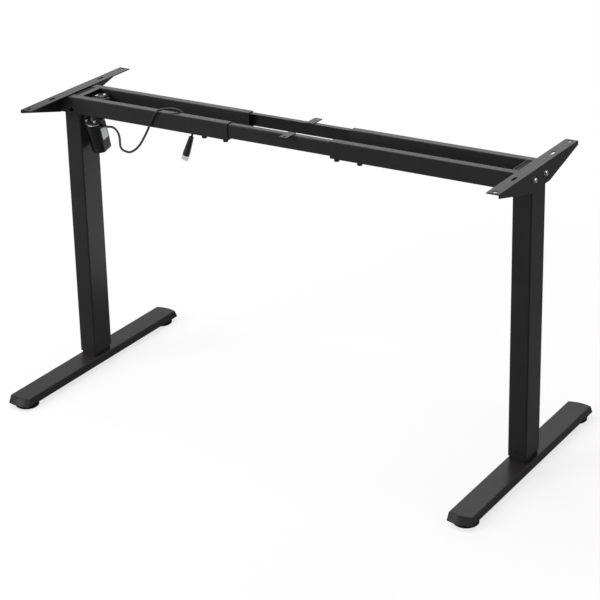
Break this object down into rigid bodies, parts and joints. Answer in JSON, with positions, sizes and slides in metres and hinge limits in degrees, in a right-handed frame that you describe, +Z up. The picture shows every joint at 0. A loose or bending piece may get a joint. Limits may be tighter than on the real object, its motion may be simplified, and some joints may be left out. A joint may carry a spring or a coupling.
{
  "type": "height adjustable desk frame",
  "caption": "Sit-stand desk frame with telescopic columns on long feet, a width-adjustable top frame, a geared motor, a cross shaft and a short motor lead.",
  "frame": {"origin": "on the floor, midway between the feet", "axes": "+X along the beam, +Y to the back, +Z up"},
  "size_m": [1.239, 0.635, 0.7227],
  "materials": {
    "frame_coat": "satin",
    "zinc": "satin",
    "black_steel": "satin",
    "nylon": "matte",
    "clear_plastic": "gloss",
    "pad_plastic": "matte",
    "die_cast": "matte",
    "dark_cast": "satin",
    "bright_steel": "satin",
    "bronze": "satin",
    "motor_black": "satin",
    "blank_plate": "matte",
    "cord_black": "matte"
  },
  "bodies": {
    "base_left": {"foot_left": "frame_coat", "foot_bolts_left": "zinc", "inner_tube_left": "frame_coat", "lift_nut_left": "nylon", "glide_upper_left": "nylon"},
    "frame_left": {"outer_tube_left": "frame_coat", "glide_lower_left": "nylon", "glide_screws_left": "black_steel", "rail_front_left": "frame_coat", "rail_rear_left": "frame_coat", "side_bracket_left": "frame_coat", "bracket_bolts_left": "zinc", "clamp_screws_left": "black_steel", "bevel_housing_left": "die_cast", "housing_cover_left": "pad_plastic", "screw_bearing_left": "bright_steel", "gearbox_housing": "dark_cast", "gearbox_cover": "dark_cast", "gearbox_screws": "zinc", "gearbox_bracket": "frame_coat", "motor_can": "motor_black", "motor_plate": "blank_plate", "lead_gland": "cord_black", "motor_lead": "cord_black", "lead_boot": "cord_black", "lead_connector": "clear_plastic"},
    "screw_left": {"lead_screw_left": "bright_steel", "bevel_gear_left": "bright_steel"},
    "drive_line": {"bevel_pinion_left": "bright_steel", "drive_shaft": "bright_steel", "cross_tube": "bright_steel", "worm_wheel": "bronze"},
    "worm": {"worm_shaft": "bright_steel"},
    "centre_rails": {"inner_rail_front": "frame_coat", "inner_rail_rear": "frame_coat", "centre_tabs": "frame_coat"},
    "frame_right": {"outer_tube_right": "frame_coat", "glide_lower_right": "nylon", "glide_screws_right": "black_steel", "rail_front_right": "frame_coat", "rail_rear_right": "frame_coat", "side_bracket_right": "frame_coat", "bracket_bolts_right": "zinc", "clamp_screws_right": "black_steel", "bevel_housing_right": "die_cast", "housing_cover_right": "pad_plastic", "screw_bearing_right": "bright_steel"},
    "screw_right": {"lead_screw_right": "bright_steel", "bevel_gear_right": "bright_steel"},
    "rod_line": {"bevel_pinion_right": "bright_steel", "cross_rod": "bright_steel"},
    "base_right": {"foot_right": "frame_coat", "foot_bolts_right": "zinc", "inner_tube_right": "frame_coat", "lift_nut_right": "nylon", "glide_upper_right": "nylon"},
    "pad_front_left": {"level_foot_front_left": "pad_plastic"},
    "pad_rear_left": {"level_foot_rear_left": "pad_plastic"},
    "pad_front_right": {"level_foot_front_right": "pad_plastic"},
    "pad_rear_right": {"level_foot_rear_right": "pad_plastic"}
  },
  "joints": [
    {"name": "lift", "type": "slide", "parent": "base_left", "child": "frame_left", "axis": [0, 0, 1], "range_m": [0, 0.46]},
    {"name": "screw_left_turn", "type": "hinge", "parent": "frame_left", "child": "screw_left", "pos_m": [-0.5895, 0, 0.6], "axis": [0, 0, 1], "range_deg": [0, 16565]},
    {"name": "drive_turn", "type": "hinge", "parent": "frame_left", "child": "drive_line", "pos_m": [-0.5, 0, 0.68], "axis": [1, 0, 0], "range_deg": [0, 16565]},
    {"name": "worm_turn", "type": "hinge", "parent": "frame_left", "child": "worm", "pos_m": [-0.538, -0.02241, 0.674], "axis": [0, -0.2588, 0.9659], "range_deg": [0, 397480]},
    {"name": "width_left", "type": "slide", "parent": "frame_left", "child": "centre_rails", "axis": [1, 0, 0], "range_m": [-0.09, 0.185]},
    {"name": "width_right", "type": "slide", "parent": "centre_rails", "child": "frame_right", "axis": [1, 0, 0], "range_m": [-0.09, 0.185]},
    {"name": "screw_right_turn", "type": "hinge", "parent": "frame_right", "child": "screw_right", "pos_m": [0.5895, 0, 0.6], "axis": [0, 0, 1], "range_deg": [-16565, 0]},
    {"name": "rod_turn", "type": "hinge", "parent": "frame_right", "child": "rod_line", "pos_m": [0.5, 0, 0.68], "axis": [1, 0, 0], "range_deg": [0, 16565]},
    {"name": "right_lift", "type": "slide", "parent": "frame_right", "child": "base_right", "axis": [0, 0, -1], "range_m": [0, 0.46]},
    {"name": "level_front_left", "type": "slide", "parent": "base_left", "child": "pad_front_left", "axis": [0, 0, -1], "range_m": [0, 0.008]},
    {"name": "level_front_right", "type": "slide", "parent": "base_right", "child": "pad_front_right", "axis": [0, 0, -1], "range_m": [0, 0.008]},
    {"name": "level_rear_left", "type": "slide", "parent": "base_left", "child": "pad_rear_left", "axis": [0, 0, -1], "range_m": [0, 0.008]},
    {"name": "level_rear_right", "type": "slide", "parent": "base_right", "child": "pad_rear_right", "axis": [0, 0, -1], "range_m": [0, 0.008]}
  ],
  "couplings": [
    {"joint": "screw_left_turn", "follows": "lift", "rad_per_m": 628.32},
    {"joint": "drive_turn", "follows": "lift", "rad_per_m": 628.32},
    {"joint": "worm_turn", "follows": "lift", "rad_per_m": 15080},
    {"joint": "screw_right_turn", "follows": "lift", "rad_per_m": -628.32},
    {"joint": "rod_turn", "follows": "lift", "rad_per_m": 628.32},
    {"joint": "right_lift", "follows": "lift", "ratio": 1}
  ]
}
